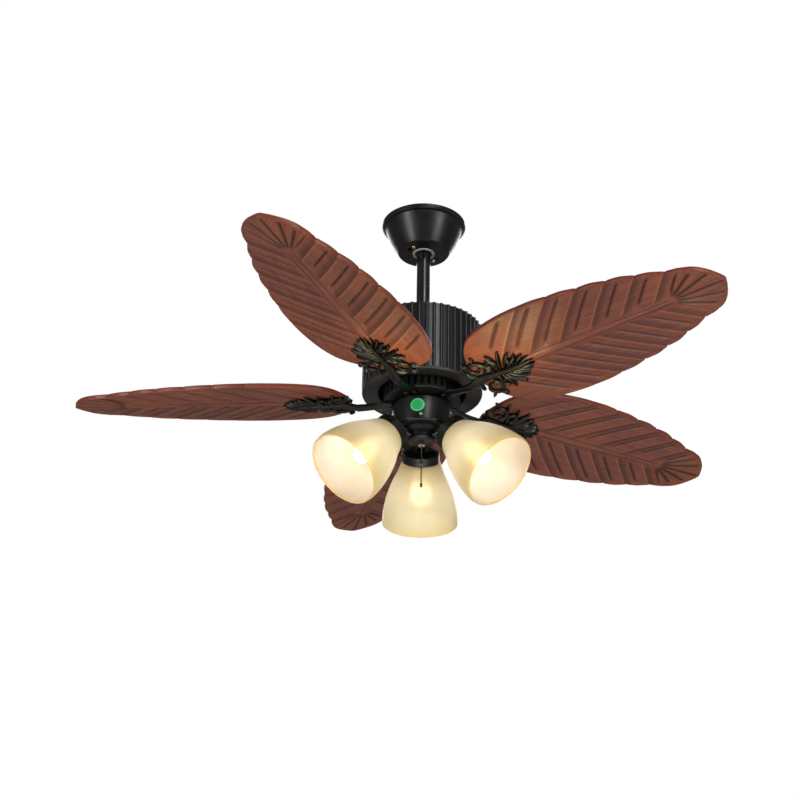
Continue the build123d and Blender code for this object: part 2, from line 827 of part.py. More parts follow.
for number, rim in enumerate(light_planes, start=1):
    with BuildPart() as fitter:
        with BuildSketch(section_plane(rim)):
            with BuildLine():
                Polyline(
                    (collar_inner, 0),
                    (collar_outer, 0),
                    (collar_outer, -collar_length),
                    (collar_outer - 1.4, -collar_length - 1.2),
                    (fitter_neck, -fitter_depth + 1),
                    (fitter_neck - 1, -fitter_depth),
                    (4, -fitter_depth),
                    (4, -fitter_depth + 2),
                    (fitter_neck - 1, -fitter_depth + 2),
                    (collar_inner - 1.2, -collar_length + 0.4),
                    (collar_inner, -collar_length + 1.6),
                    (collar_inner, 0),
                )
            make_face()
        revolve(axis=axis_of(rim))
        for fin in range(fin_count):
            turn = radians(360.0 / fin_count * fin)
            fin_side = rim.x_dir * cos(turn) + rim.y_dir * sin(turn)
            turned = Plane(origin=rim.origin, x_dir=fin_side, z_dir=rim.z_dir)
            with BuildSketch(section_plane(turned)):
                with BuildLine():
                    Polyline(
                        (fitter_neck - 0.4, -fitter_depth + 1.5),
                        (collar_outer - 2.0, -collar_length - 0.6),
                        (collar_outer - 0.8, -collar_length - 3.0),
                        (fitter_neck + 2, -fitter_depth - 1.0),
                        (fitter_neck - 0.4, -fitter_depth + 1.5),
                    )
                make_face()
            extrude(amount=0.8, both=True)
        with Locations(rim.offset(-collar_length / 2)):
            with PolarLocations(collar_outer, 3, start_angle=30):
                Cylinder(1.6 + fit_gap, 8, rotation=(0, 90, 0), mode=Mode.SUBTRACT)
    keep(fitter, "shade_fitter_" + str(number))

    with BuildPart() as shade:
        with BuildSketch(section_plane(rim)):
            with BuildLine():
                Polyline(
                    (shade_neck - shade_wall, -12),
                    (shade_neck, -12),
                    (shade_neck, 0.4),
                    shade_side(0)[0],
                )
                Spline(*shade_side(0), tangents=((1, 1.3), (0.02, 1)))
                Polyline(
                    shade_side(0)[-1],
                    (71.2, shade_length - 1),
                    (70.0, shade_length),
                    (68.6, shade_length - 1),
                    shade_side(shade_wall)[-1],
                )
                Spline(*shade_side(shade_wall), tangents=((1, 1.3), (0.02, 1)))
                Polyline(shade_side(shade_wall)[0], (shade_neck - shade_wall, 0.5), (shade_neck - shade_wall, -12))
            make_face()
        revolve(axis=axis_of(rim))
    keep(shade, "shade_" + str(number))

    with BuildPart() as bulb:
        with BuildSketch(section_plane(rim)):
            with BuildLine():
                Polyline((0, 16), (11.5, 16))
                Spline((11.5, 16), (12.6, 30), (17.5, 54), (16.5, 72), (9.5, 84), (0, 87), tangents=((0, 1), (-1, 0)))
                Line((0, 87), (0, 16))
            make_face()
        revolve(axis=axis_of(rim))
    keep(bulb, "bulb_" + str(number))

with BuildPart() as shade_screws:
    for rim in light_planes:
        with Locations(rim.offset(-collar_length / 2)):
            with PolarLocations(collar_outer + 0.5, 3, start_angle=30):
                Cylinder(1.6, 4.8, rotation=(0, 90, 0))
            with PolarLocations(collar_outer + 4.8, 3, start_angle=30):
                Cylinder(3.4, 4, rotation=(0, 90, 0))
keep(shade_screws, "shade_screws")

with BuildPart() as bulb_sockets:
    for rim in light_planes:
        with BuildSketch(rim.offset(-fitter_depth + 2)):
            Circle(15.8)
        extrude(amount=fitter_depth + 9)
        with BuildSketch(rim.offset(-10)):
            Circle(13.2)
        extrude(amount=25, mode=Mode.SUBTRACT)
keep(bulb_sockets, "bulb_sockets")

with BuildPart() as bulb_caps:
    for rim in light_planes:
        with BuildSketch(rim.offset(-9.5)):
            Circle(7)
        extrude(amount=3)
        with BuildSketch(rim.offset(-6.5)):
            Circle(13)
        extrude(amount=22.4)
keep(bulb_caps, "bulb_caps")

# ---------------------------------------------------------------- pull chain
with BuildPart() as pull_chain:
    with BuildSketch(Plane.XY.offset(chain_bottom)):
        Circle(chain_radius)
    extrude(amount=chain_top - chain_bottom)
keep(pull_chain, "pull_chain")

with BuildPart() as chain_end:
    with BuildSketch(Plane.XY.offset(chain_bottom)):
        Circle(2.2)
    extrude(amount=-7)
    fillet(chain_end.edges(), 0.8)
keep(chain_end, "chain_end")
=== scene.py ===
"""Looks of the ceiling fan with light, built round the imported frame.

Metres, in the row frame: +Z up, the origin on the ceiling plane. The leaf blades, their irons and the
beads of the pull chain are meshes made here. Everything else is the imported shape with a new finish.
"""

import json
import math

import bpy
import numpy as np
from mathutils import Matrix, Vector


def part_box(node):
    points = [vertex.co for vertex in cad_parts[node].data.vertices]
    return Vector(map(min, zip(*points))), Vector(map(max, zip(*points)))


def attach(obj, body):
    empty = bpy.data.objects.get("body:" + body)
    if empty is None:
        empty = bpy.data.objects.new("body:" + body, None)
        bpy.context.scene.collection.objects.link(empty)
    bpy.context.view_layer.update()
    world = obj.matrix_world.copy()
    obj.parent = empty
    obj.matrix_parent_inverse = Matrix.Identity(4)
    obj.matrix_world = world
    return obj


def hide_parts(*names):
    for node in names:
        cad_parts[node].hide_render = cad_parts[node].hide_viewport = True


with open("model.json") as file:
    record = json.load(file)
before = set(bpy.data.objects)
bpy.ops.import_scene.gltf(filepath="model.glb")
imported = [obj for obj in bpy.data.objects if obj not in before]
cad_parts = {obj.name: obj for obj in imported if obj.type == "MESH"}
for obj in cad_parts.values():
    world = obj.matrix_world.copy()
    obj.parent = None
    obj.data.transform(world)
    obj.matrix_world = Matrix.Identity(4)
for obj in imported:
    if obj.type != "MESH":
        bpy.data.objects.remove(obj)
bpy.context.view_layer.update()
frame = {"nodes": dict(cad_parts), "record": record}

# ---------------------------------------------------------------- driving values
BLADE_COUNT = 5
FIRST_BLADE = math.radians(174.9)
BLADE_PITCH = math.radians(-12.0)
BLADE_DROOP = math.radians(-0.85)
BLADE_ORIGIN = Vector((0, 0, -0.389))
BLADE_THICKNESS = 0.009
DRUM_BOTTOM = -0.3924  # the irons are screwed to this face

LIGHT_COUNT = 3
FIRST_LIGHT = math.radians(90.5)
LIGHT_TILT = math.radians(45.8)
COLLAR_RADIUS = 0.0739
COLLAR_Z = -0.4762
SHADE_LENGTH = 0.126
PAINTED_GLOW_CENTRE = 0.074  # from the collar to the centre of the glow painted on the glass
FILAMENT = 0.070

CHAIN_TOP = -0.4713
CHAIN_BOTTOM = -0.555
CHAIN_DIAMETER = 0.0032

FLOOR_Z = -2.6
FAN_MIDDLE = Vector((0, 0, -0.38))
REFLECTED_WHITE = 0.17  # strength of the white surroundings in everything but the camera's own view
SPILL_REACH = 0.215  # along the blade to the spot that a lamp's spill is centred on
SPILL_SIDE = 0.045
SPILL_DROP = 0.12


# ---------------------------------------------------------------- camera
def make_camera():
    """Below the fan and in front of it, looking up; the shift keeps the fan where it is framed."""
    elevation = math.radians(27.154)
    roll = math.radians(0.622)
    forward = Vector((0, math.cos(elevation), math.sin(elevation)))
    level_up = Vector((0, -math.sin(elevation), math.cos(elevation)))
    right = Vector((1, 0, 0))
    side = right * math.cos(roll) + level_up * math.sin(roll)
    up = level_up * math.cos(roll) - right * math.sin(roll)
    data = bpy.data.cameras.new("camera")
    data.lens = 78.26
    data.sensor_width = 36
    data.shift_x = -0.0275
    data.shift_y = 0.0012
    data.clip_start = 0.05
    data.clip_end = 50
    camera = bpy.data.objects.new("camera", data)
    bpy.context.scene.collection.objects.link(camera)
    turn = Matrix((side, up, -forward)).transposed()
    camera.matrix_world = Matrix.Translation((0, -2.8874, -1.8672)) @ turn.to_4x4()
    bpy.context.scene.camera = camera


make_camera()


# ---------------------------------------------------------------- small helpers
def add_mesh(name, vertices, faces, material, body):
    """A new smooth-shaded mesh piece that rides on a body."""
    mesh = bpy.data.meshes.new(name)
    mesh.from_pydata([tuple(v) for v in vertices], [], [tuple(f) for f in faces])
    mesh.validate()
    mesh.polygons.foreach_set("use_smooth", [True] * len(mesh.polygons))
    mesh.materials.append(material)
    piece = bpy.data.objects.new(name, mesh)
    bpy.context.scene.collection.objects.link(piece)
    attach(piece, body)
    return piece


def blade_frame(number):
    """Matrix of a blade's underside plane: x runs out along the leaf, z is its upward normal."""
    turn = FIRST_BLADE + 2 * math.pi / BLADE_COUNT * (number - 1)
    radial = Vector((math.cos(turn), math.sin(turn), 0))
    across = Vector((-math.sin(turn), math.cos(turn), 0))
    up = Vector((0, 0, 1))
    along = radial * math.cos(BLADE_DROOP) - up * math.sin(BLADE_DROOP)
    lifted = radial * math.sin(BLADE_DROOP) + up * math.cos(BLADE_DROOP)
    normal = lifted * math.cos(BLADE_PITCH) - across * math.sin(BLADE_PITCH)
    width = normal.cross(along)
    turned = Matrix((along, width, normal)).transposed().to_4x4()
    return Matrix.Translation(BLADE_ORIGIN) @ turned


def light_frame(number):
    """Matrix of a shade collar's front rim: z points out of the shade's mouth, x is level."""
    turn = FIRST_LIGHT + 2 * math.pi / LIGHT_COUNT * (number - 1)
    level = Vector((-math.sin(turn), math.cos(turn), 0))
    radial = Vector((math.cos(turn), math.sin(turn), 0))
    outward = radial * math.cos(LIGHT_TILT) - Vector((0, 0, math.sin(LIGHT_TILT)))
    turned = Matrix((level, outward.cross(level), outward)).transposed().to_4x4()
    rim = radial * COLLAR_RADIUS + Vector((0, 0, COLLAR_Z))
    return Matrix.Translation(rim) @ turned


# ---------------------------------------------------------------- materials
class Shader:
    """A node material: its principled shader, and short calls that add nodes to it."""

    def __init__(self, name, colour=(0.5, 0.5, 0.5), roughness=0.5, metallic=0.0, **sockets):
        self.material = bpy.data.materials.new(name)
        self.material.use_nodes = True
        self.tree = self.material.node_tree
        self.base = self.tree.nodes["Principled BSDF"]
        self.set(self.base, "Base Color", (*colour, 1))
        self.set(self.base, "Roughness", roughness)
        self.set(self.base, "Metallic", metallic)
        for socket, value in sockets.items():
            self.set(self.base, socket.replace("_", " "), value)
        self.place = self.node("ShaderNodeTexCoord").outputs["Object"]

    def set(self, node, socket, value):
        """Give a socket a value, or link it to another node's output."""
        if isinstance(value, bpy.types.NodeSocket):
            self.tree.links.new(value, node.inputs[socket])
        else:
            node.inputs[socket].default_value = value

    def node(self, kind, **settings):
        """A new node with its settings."""
        made = self.tree.nodes.new(kind)
        for setting, value in settings.items():
            setattr(made, setting, value)
        return made

    def math(self, operation, first, second=0.0, third=0.0):
        """The value of one math node."""
        made = self.node("ShaderNodeMath", operation=operation)
        self.set(made, 0, first)
        self.set(made, 1, second)
        self.set(made, 2, third)
        return made.outputs[0]

    def vector(self, operation, first, second, output=0):
        """The result of one vector math node."""
        made = self.node("ShaderNodeVectorMath", operation=operation)
        self.set(made, 0, first)
        self.set(made, 1, second)
        return made.outputs[output]

    def away_from(self, point):
        """Distance from a point, in the row frame."""
        return self.vector("DISTANCE", self.place, point, "Value")

    def noise(self, scale, detail=3.0, roughness=0.5, place=None, distortion=0.0):
        """The value of a noise texture."""
        made = self.node("ShaderNodeTexNoise")
        self.set(made, "Vector", place or self.place)
        self.set(made, "Scale", scale)
        self.set(made, "Detail", detail)
        self.set(made, "Roughness", roughness)
        self.set(made, "Distortion", distortion)
        return made.outputs["Fac"]

    def spread(self, value, low, high, to_low=0.0, to_high=1.0):
        """A value mapped from one range to another and held inside it."""
        made = self.node("ShaderNodeMapRange", clamp=True)
        self.set(made, "Value", value)
        self.set(made, "From Min", low)
        self.set(made, "From Max", high)
        self.set(made, "To Min", to_low)
        self.set(made, "To Max", to_high)
        return made.outputs["Result"]

    def ramp(self, value, *stops):
        """A colour ramp; each stop is (position, colour)."""
        made = self.node("ShaderNodeValToRGB")
        band = made.color_ramp
        while len(band.elements) < len(stops):
            band.elements.new(0.5)
        for element, (position, colour) in zip(band.elements, stops):
            element.position = position
            element.color = (*colour, 1)
        self.set(made, "Fac", value)
        return made.outputs["Color"]

    def mix(self, factor, first, second):
        """Two colours mixed."""
        made = self.node("ShaderNodeMix", data_type="RGBA")
        self.set(made, 0, factor)
        for socket, colour in ((6, first), (7, second)):
            self.set(made, socket, colour if isinstance(colour, bpy.types.NodeSocket) else (*colour, 1))
        return made.outputs[2]

    def stretched(self, factors):
        """Object coordinates scaled along each axis."""
        made = self.node("ShaderNodeMapping")
        self.set(made, "Vector", self.place)
        self.set(made, "Scale", factors)
        return made.outputs["Vector"]

    def attribute(self, name):
        """The value of a mesh attribute."""
        return self.node("ShaderNodeAttribute", attribute_name=name).outputs["Fac"]

    def bump(self, height, distance, strength=1.0):
        """Use a height as the surface's bump."""
        made = self.node("ShaderNodeBump")
        self.set(made, "Height", height)
        self.set(made, "Distance", distance)
        self.set(made, "Strength", strength)
        self.set(self.base, "Normal", made.outputs["Normal"])


def painted_black(name, tone=(0.0030, 0.0030, 0.0029), roughness=0.36, coat=0.08):
    """Satin black powder coat: a fine orange peel, faint dust and slightly uneven gloss."""
    made = Shader(name, roughness=roughness)
    dust = made.noise(9.0, 4.0, 0.6)
    lighter = tuple(1.8 * c + 0.001 for c in tone)
    made.set(made.base, "Base Color", made.mix(made.spread(dust, 0.45, 0.8), tone, lighter))
    gloss = made.spread(made.noise(60.0), 0.3, 0.7, roughness - 0.05, roughness + 0.07)
    made.set(made.base, "Roughness", gloss)
    made.set(made.base, "Specular IOR Level", 0.36)
    made.set(made.base, "Coat Weight", coat)
    made.set(made.base, "Coat Roughness", 0.22)
    made.bump(made.noise(900.0, 2.0), 0.00005, 0.5)
    return made.material


def metal(name, colour, roughness, grain=(40, 40, 600), bump=0.00003):
    """Bare or plated metal with fine drawn lines and stain."""
    made = Shader(name, colour, roughness, 1.0)
    lines = made.noise(1.0, 3.0, 0.6, made.stretched(grain))
    stain = made.noise(120.0, 4.0, 0.6)
    darker = tuple(0.62 * c for c in colour)
    made.set(made.base, "Base Color", made.mix(made.spread(stain, 0.45, 0.75), colour, darker))
    made.set(made.base, "Roughness", made.spread(lines, 0.3, 0.7, roughness * 0.8, min(roughness * 1.3, 1)))
    made.bump(lines, bump, 0.6)
    return made.material


def moulded(name, colour, roughness, **sockets):
    """Moulded plastic or fired porcelain, with a fine texture and slightly uneven colour."""
    made = Shader(name, colour, roughness, **sockets)
    uneven = made.spread(made.noise(35.0, 3.0), 0.35, 0.7)
    made.set(made.base, "Base Color", made.mix(uneven, colour, tuple(0.86 * c for c in colour)))
    gloss = made.spread(made.noise(300.0), 0.3, 0.7, roughness * 0.85, roughness * 1.15)
    made.set(made.base, "Roughness", gloss)
    made.bump(made.noise(1500.0, 2.0), 0.00004, 0.5)
    return made.material


def carved_wood():
    """Stained leaf: grain along the blade and darker at the rim, with painted shade in the grooves and on
    the shaded side of each fold, and a painted highlight on the ridges.
    """
    made = Shader("carved_wood", roughness=0.4)
    along = made.node("ShaderNodeCombineXYZ")
    made.set(along, "X", made.attribute("leaf_u"))
    made.set(along, "Y", made.attribute("leaf_v"))
    made.set(along, "Z", made.attribute("leaf_side"))
    grain_place = made.node("ShaderNodeMapping")
    made.set(grain_place, "Vector", along.outputs["Vector"])
    made.set(grain_place, "Scale", (14, 260, 1))
    grain = made.noise(1.0, 6.0, 0.65, grain_place.outputs["Vector"], 0.6)
    cloud = made.noise(1.0, 3.0, 0.5, made.stretched((7, 7, 7)))
    wood = made.ramp(
        made.spread(grain, 0.3, 0.72),
        (0.0, (0.078, 0.019, 0.011)),
        (0.45, (0.140, 0.036, 0.020)),
        (1.0, (0.210, 0.062, 0.032)),
    )
    wood = made.mix(made.spread(cloud, 0.42, 0.72, 0, 0.45), wood, (0.25, 0.066, 0.018))
    # Painted shade in the grooves and on the shaded side of each fold.
    painted_groove_shade = made.attribute("painted_groove_shade")
    wood = made.mix(made.spread(painted_groove_shade, 0.08, 0.8, 0, 0.92), wood, (0.022, 0.003, 0.002))
    # Painted highlight on the crests.
    painted_crest_highlight = made.attribute("painted_crest_highlight")
    wood = made.mix(made.spread(painted_crest_highlight, 0.15, 1.0, 0, 0.5), wood, (0.34, 0.115, 0.045))
    rim = made.attribute("rim")
    wood = made.mix(made.spread(rim, 0.2, 1.0, 0, 0.6), wood, (0.17, 0.027, 0.010))
    made.set(made.base, "Base Color", wood)
    made.set(made.base, "Roughness", made.spread(grain, 0.3, 0.7, 0.40, 0.52))
    made.set(made.base, "Specular IOR Level", 0.35)
    made.set(made.base, "Coat Weight", 0.15)
    made.set(made.base, "Coat Roughness", 0.3)
    pores = made.math("ADD", made.math("MULTIPLY", grain, 0.7), made.noise(420.0, 3.0))
    made.bump(pores, 0.00018, 0.5)
    return made.material


def bronze_iron():
    """Black bronze cast iron: nearly black in the hollows, rubbed olive bronze on the relief."""
    made = Shader("bronze_iron", roughness=0.34, metallic=0.75)
    rubbed = made.attribute("relief")
    speckle = made.noise(260.0, 4.0, 0.65)
    worn = made.spread(speckle, 0.35, 0.7, 0.35, 1.0)
    lifted = made.math("MULTIPLY", made.spread(rubbed, 0.25, 1.0), worn)
    colour = made.mix(lifted, (0.004, 0.0042, 0.0036), (0.028, 0.026, 0.019))
    made.set(made.base, "Base Color", colour)
    made.set(made.base, "Roughness", made.spread(speckle, 0.3, 0.7, 0.27, 0.42))
    made.set(made.base, "Coat Weight", 0.3)
    made.set(made.base, "Coat Roughness", 0.18)
    made.bump(made.noise(520.0, 4.0, 0.6), 0.00025, 0.6)
    return made.material


def frosted_glass(number):
    """Etched glass round one lamp: cream outside, amber at the rim, beige inside, with a painted glow of
    lamplight that is brightest by the lamp.
    """
    made = Shader("frosted_glass_" + str(number), roughness=0.46)
    base = light_frame(number)
    outward = base.to_3x3() @ Vector((0, 0, 1))
    from_rim = made.vector("SUBTRACT", made.place, base.translation)
    depth = made.vector("DOT_PRODUCT", from_rim, outward, "Value")
    on_axis = made.node("ShaderNodeVectorMath", operation="SCALE")
    on_axis.inputs[0].default_value = outward
    made.set(on_axis, "Scale", depth)
    radial = made.vector("SUBTRACT", from_rim, on_axis.outputs[0])
    normal = made.node("ShaderNodeTexCoord").outputs["Normal"]
    inside = made.spread(made.vector("DOT_PRODUCT", radial, normal, "Value"), 0.004, -0.004)
    marks = made.noise(38.0, 4.0, 0.6)
    length = made.math("DIVIDE", depth, SHADE_LENGTH)
    # Painted glow: a hot spot of lamplight painted onto the glass round the lamp, as emission.
    to_lamp = made.away_from(base @ Vector((0, 0, PAINTED_GLOW_CENTRE)))
    painted_hot_spot = made.math("POWER", made.spread(to_lamp, 0.086, 0.058), 1.6)
    outer = made.ramp(
        length,
        (0.0, (0.60, 0.49, 0.26)),
        (0.10, (0.64, 0.54, 0.30)),
        (0.30, (0.68, 0.60, 0.38)),
        (0.62, (0.68, 0.60, 0.38)),
        (0.90, (0.68, 0.57, 0.31)),
        (1.0, (0.74, 0.57, 0.22)),
    )
    inner = made.ramp(
        length,
        (0.0, (0.62, 0.54, 0.42)),
        (0.50, (0.62, 0.56, 0.48)),
        (0.92, (0.62, 0.56, 0.47)),
        (1.0, (0.74, 0.54, 0.22)),
    )
    tint = made.mix(inside, outer, inner)
    cloudy = made.mix(made.spread(marks, 0.4, 0.7, 0.0, 0.12), tint, (1.0, 0.96, 0.86))
    made.set(made.base, "Base Color", cloudy)
    # The painted glow is weak on the inner face of the glass.
    lit = made.math("MULTIPLY", painted_hot_spot, made.spread(inside, 0.0, 1.0, 1.0, 0.12))
    made.set(made.base, "Emission Color", made.mix(lit, cloudy, (1.0, 0.90, 0.66)))
    # Painted glow: the whole shade glows a little, and more in the painted hot spot.
    made.set(made.base, "Emission Strength", made.math("ADD", made.math("MULTIPLY", lit, 0.22), 0.10))
    made.set(made.base, "Specular IOR Level", 0.25)
    made.set(made.base, "Transmission Weight", 0.40)
    made.set(made.base, "IOR", 1.25)
    made.set(made.base, "Coat Weight", 0.2)
    made.set(made.base, "Coat Roughness", 0.2)
    made.set(made.base, "Roughness", made.spread(marks, 0.3, 0.7, 0.42, 0.50))
    made.bump(made.noise(700.0, 3.0), 0.00006, 0.5)
    return made.material


def lit_bulb(number):
    """Faceted lamp glass, brightest round its filament and dimmer towards the base."""
    made = Shader("lit_bulb_" + str(number), (1.0, 0.93, 0.78), 0.12)
    to_heart = made.away_from(light_frame(number) @ Vector((0, 0, FILAMENT)))
    heart = made.spread(to_heart, 0.040, 0.017, 0.12, 1.0)
    facets = made.node("ShaderNodeTexVoronoi", feature="DISTANCE_TO_EDGE")
    made.set(facets, "Vector", made.place)
    facets.inputs["Scale"].default_value = 95.0
    edges = made.spread(facets.outputs["Distance"], 0.02, 0.16, 0.0, 1.0)
    haze = made.math("MULTIPLY", edges, made.spread(made.noise(60.0, 3.0), 0.35, 0.7, 0.55, 1.0))
    made.set(made.base, "Emission Color", made.mix(haze, (0.85, 0.55, 0.28), (1.0, 0.93, 0.78)))
    glow = made.spread(haze, 0.0, 1.0, 5.0, 21.0)
    made.set(made.base, "Emission Strength", made.math("MULTIPLY", heart, glow))
    made.set(made.base, "Coat Weight", 0.5)
    return made.material


def green_sticker():
    """A plain round sticker with a paler ring near its rim."""
    made = Shader("green_sticker", (0.02, 0.30, 0.09), 0.35)
    label_low, label_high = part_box("round_label")
    away = made.away_from((label_low + label_high) / 2)
    ring = made.math("COMPARE", away, 0.0112, 0.0007)
    fleck = made.spread(made.noise(400.0), 0.3, 0.7, 0.0, 0.3)
    green = made.mix(fleck, (0.015, 0.30, 0.085), (0.03, 0.40, 0.13))
    made.set(made.base, "Base Color", made.mix(ring, green, (0.14, 0.52, 0.24)))
    made.set(made.base, "Coat Weight", 0.4)
    return made.material


black = painted_black("satin_black")
black_rod = painted_black("rod_black", roughness=0.3, coat=0.4)
pan_black = painted_black("pan_black", (0.014, 0.0135, 0.013), 0.33)
bell_black = painted_black("bell_black", (0.004, 0.004, 0.004), 0.5, 0.0)
zinc = metal("zinc_plate", (0.62, 0.63, 0.65), 0.34)
brass = metal("brass_plate", (0.83, 0.62, 0.32), 0.24)
steel = metal("ground_steel", (0.58, 0.58, 0.6), 0.22)
laminated = metal("laminated_steel", (0.30, 0.30, 0.32), 0.45, (20, 20, 2600), 0.00006)
copper = metal("copper_winding", (0.16, 0.060, 0.030), 0.35, (300, 300, 1800), 0.0001)
dark_zinc = metal("dark_zinc", (0.22, 0.22, 0.23), 0.4)
antique = metal("antique_brass", (0.10, 0.07, 0.042), 0.34, (300, 300, 300))
nylon = moulded("pale_nylon", (0.50, 0.50, 0.48), 0.45)
dark_plastic = moulded("dark_plastic", (0.025, 0.025, 0.025), 0.4)
porcelain = moulded("porcelain", (0.82, 0.81, 0.77), 0.16, Coat_Weight=0.5)
wood = carved_wood()
iron = bronze_iron()
glasses = {"shade_" + str(n): frosted_glass(n) for n in range(1, LIGHT_COUNT + 1)}
bulbs = {"bulb_" + str(n): lit_bulb(n) for n in range(1, LIGHT_COUNT + 1)}
sticker = green_sticker()

SLOT_FINISH = {
    "plated_steel": zinc,
    "black_metal": black,
    "pale_plastic": nylon,
    "brass_plate": brass,
    "machined_steel": steel,
    "laminated_steel": laminated,
    "copper_winding": copper,
    "cast_bell": bell_black,
    "bronze_iron": iron,
    "carved_wood": wood,
    "blade_screw": dark_zinc,
    "dark_plastic": dark_plastic,
    "green_label": sticker,
    "porcelain": porcelain,
    "bead_chain": antique,
}
OWN_FINISH = {
    "downrod": black_rod,
    "bottom_pan": pan_black,
    "cup_screws": zinc,
    "chain_grommet": zinc,
    "shade_screws": antique,
    **glasses,
    **bulbs,
}
for part in frame["record"]["subparts"]:
    finish = OWN_FINISH.get(part["node"]) or SLOT_FINISH[part["material_slot"]]
    materials = frame["nodes"][part["node"]].data.materials
    materials.clear()
    materials.append(finish)


# ---------------------------------------------------------------- pull chain
def make_chain():
    """Bead chain: beads on short links, hanging plumb from the eyelet to its end cap."""
    pitch = 0.0043
    bead = CHAIN_DIAMETER / 2
    link = 0.0005
    sides = 12
    count = int((CHAIN_TOP - CHAIN_BOTTOM) / pitch) + 1
    profile = []
    for number in range(count):
        middle = CHAIN_TOP - bead - number * pitch
        for step in range(9):
            angle = math.radians(20 + 140 * step / 8)
            profile.append((bead * math.sin(angle), middle + bead * math.cos(angle)))
    profile = [(max(radius, link), height) for radius, height in profile if height > CHAIN_BOTTOM]
    profile.append((link, CHAIN_BOTTOM))
    vertices, faces = turned_profile(profile, sides)
    chain = add_mesh("pull_chain_beads", vertices, faces, antique, "chain")
    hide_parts("pull_chain")


def turned_profile(profile, sides):
    """A closed turned solid about Z from (radius, height) points, both ends closed by a fan."""
    vertices, faces = [], []
    for radius, height in profile:
        for side in range(sides):
            turn = 2 * math.pi * side / sides
            vertices.append((radius * math.cos(turn), radius * math.sin(turn), height))
    for ring in range(len(profile) - 1):
        for side in range(sides):
            a, b = ring * sides + side, ring * sides + (side + 1) % sides
            faces.append((b, a, a + sides, b + sides))
    faces.append(tuple(range(sides)))
    last = (len(profile) - 1) * sides
    faces.append(tuple(last + side for side in reversed(range(sides))))
    return vertices, faces


make_chain()

# ---------------------------------------------------------------- leaf blades
VEIN_PITCH = 0.066
VEIN_LEAN = 0.92  # distance gained towards the tip for each unit out from the midrib
VEIN_CURVE = 1.1
FAN_START = 0.548  # the midrib ends here and the last veins fan out to the tip
FAN_VEINS = 3
IRON_TIP = 0.258
LEAF_STEP = 0.0020
LEAF_WIDTH = 0.240
EDGE_ROUND = 0.0016
EDGE_CROWDING = 0.86  # how much closer the rows lie near the edge; 0 would be even
SCREW_HOLES = ((0.172, 0.022), (0.216, 0.0))  # on the half of the leaf whose outline is read
TIP_INSET = 0.0001


def smooth(low, high, value):
    """0 below low, 1 above high and a smooth rise between."""
    t = np.clip((value - low) / (high - low), 0, 1)
    return t * t * (3 - 2 * t)


def leaf_outline():
    """(u, half width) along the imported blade's edge from root to tip, evenly spaced."""
    local = blade_frame(1).inverted()
    points = np.array([local @ v.co for v in frame["nodes"]["blade_1"].data.vertices])
    under = points[(np.abs(points[:, 2]) < 0.0003) & (points[:, 1] > -1e-5)]
    for hole in SCREW_HOLES:
        under = under[np.hypot(*(under[:, :2] - hole).T) > 0.004]
    under = under[np.argsort(under[:, 0])]
    length = np.concatenate([[0], np.cumsum(np.hypot(*np.diff(under[:, :2], axis=0).T))])
    even = np.linspace(0, length[-1], int(length[-1] / LEAF_STEP) + 1)
    u, half = np.interp(even, length, under[:, 0]), np.interp(even, length, under[:, 1])
    return u[0] + TIP_INSET + (u - u[0]) * (1 - 2 * TIP_INSET / (u[-1] - u[0])), half


def vein_phase(u, a):
    """Which vein a point is on, and the spacing of the veins there.

    In the phase, whole numbers are the slits and halves are the crests between them.
    """
    start = u - VEIN_LEAN * a - VEIN_CURVE * a * a
    side_phase = (start - FAN_START) / VEIN_PITCH
    lean_angle = math.atan2(1, VEIN_LEAN)
    along = np.maximum(u - FAN_START, 1e-6)
    angle = np.arctan2(a, along + VEIN_CURVE * a * a)
    reach = np.hypot(a, along)
    fan_phase = (lean_angle - np.minimum(angle, lean_angle)) / lean_angle * FAN_VEINS
    in_fan = start > FAN_START
    phase = np.where(in_fan, fan_phase, side_phase)
    spacing = np.where(in_fan, reach * lean_angle / FAN_VEINS, VEIN_PITCH * math.sin(lean_angle))
    return phase, spacing, start, reach, in_fan


